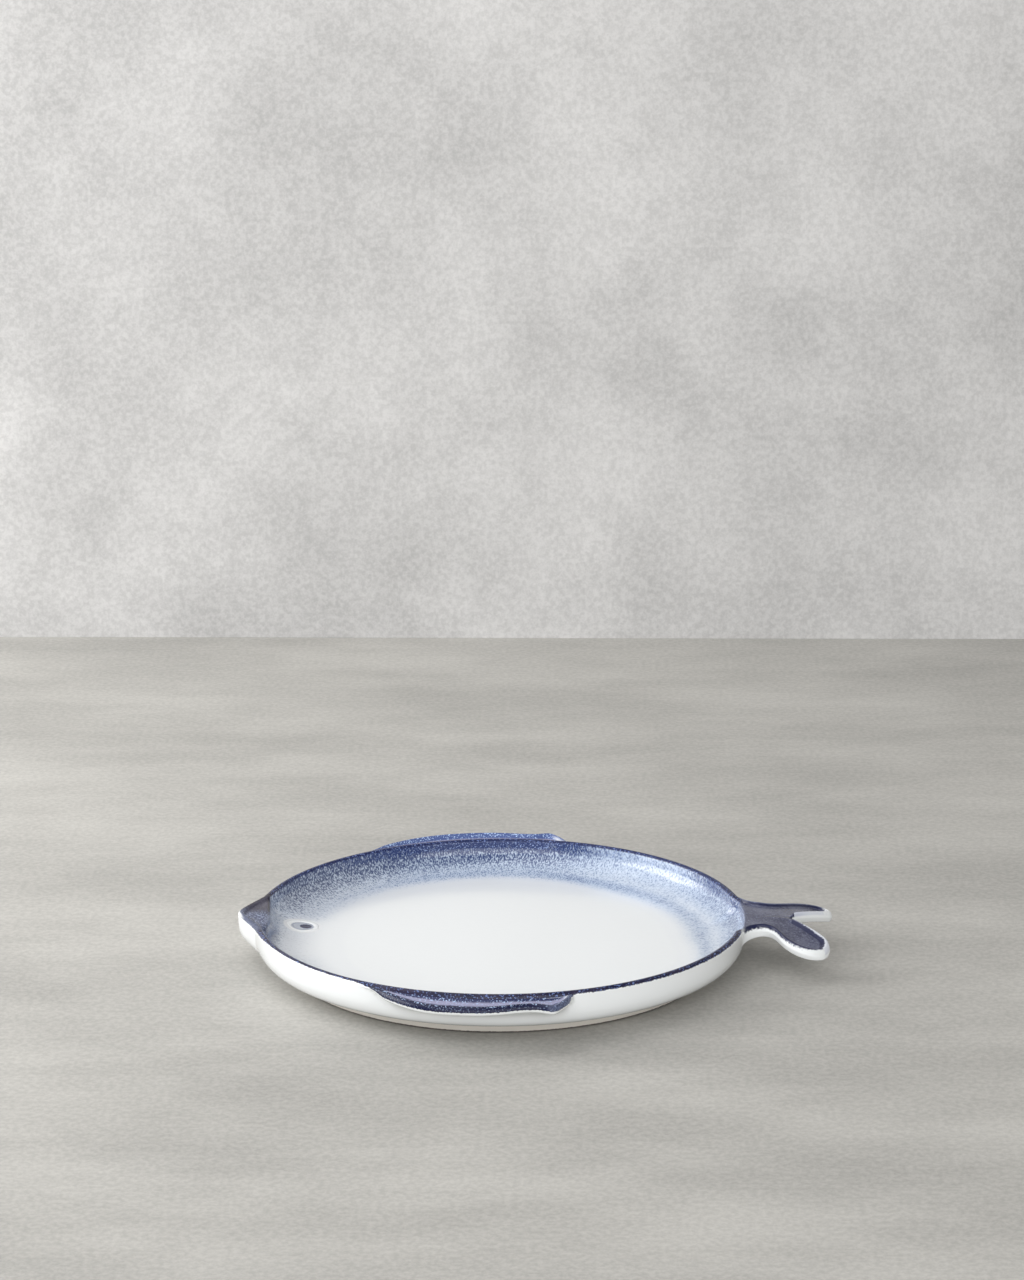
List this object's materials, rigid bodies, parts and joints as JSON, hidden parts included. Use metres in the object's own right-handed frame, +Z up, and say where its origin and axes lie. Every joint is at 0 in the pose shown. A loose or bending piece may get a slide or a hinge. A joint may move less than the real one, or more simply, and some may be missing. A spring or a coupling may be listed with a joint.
{
  "type": "cake plate",
  "caption": "Shallow round cake plate shaped as a fish in profile, with snout, fins and forked tail at the rim, in white stoneware with mottled blue glaze.",
  "frame": {"origin": "on the table, under the middle of the plate's box; the dish's own axis is 14.6 mm towards the mouth", "axes": "+X from the mouth to the tail, +Y to the back of the fish, the side the eye is on, +Z up"},
  "size_m": [0.2398, 0.2212, 0.02],
  "materials": {
    "clay": "bare fired stoneware, satin",
    "white_glaze": "glossy white glaze",
    "blue_glaze": "glossy mottled blue glaze, navy at the rim and fading to white at the well",
    "navy_glaze": "glossy navy glaze with pale specks",
    "grey_glaze": "glossy grey-violet glaze pooled in the panels"
  },
  "bodies": {
    "root": {"clay_dish": "clay", "foot_ring": "clay", "snout": "white_glaze", "dorsal_fin": "white_glaze", "belly_fin": "white_glaze", "tail": "white_glaze", "outer_white_glaze": "white_glaze", "well_white_glaze": "white_glaze", "wall_blue_glaze": "blue_glaze", "rim_glaze_dorsal": "navy_glaze", "rim_glaze_belly": "navy_glaze", "snout_glaze": "grey_glaze", "dorsal_fin_glaze": "navy_glaze", "belly_fin_glaze": "navy_glaze", "tail_glaze": "grey_glaze", "eye_ring": "white_glaze", "eye_pupil": "navy_glaze"}
  },
  "joints": []
}
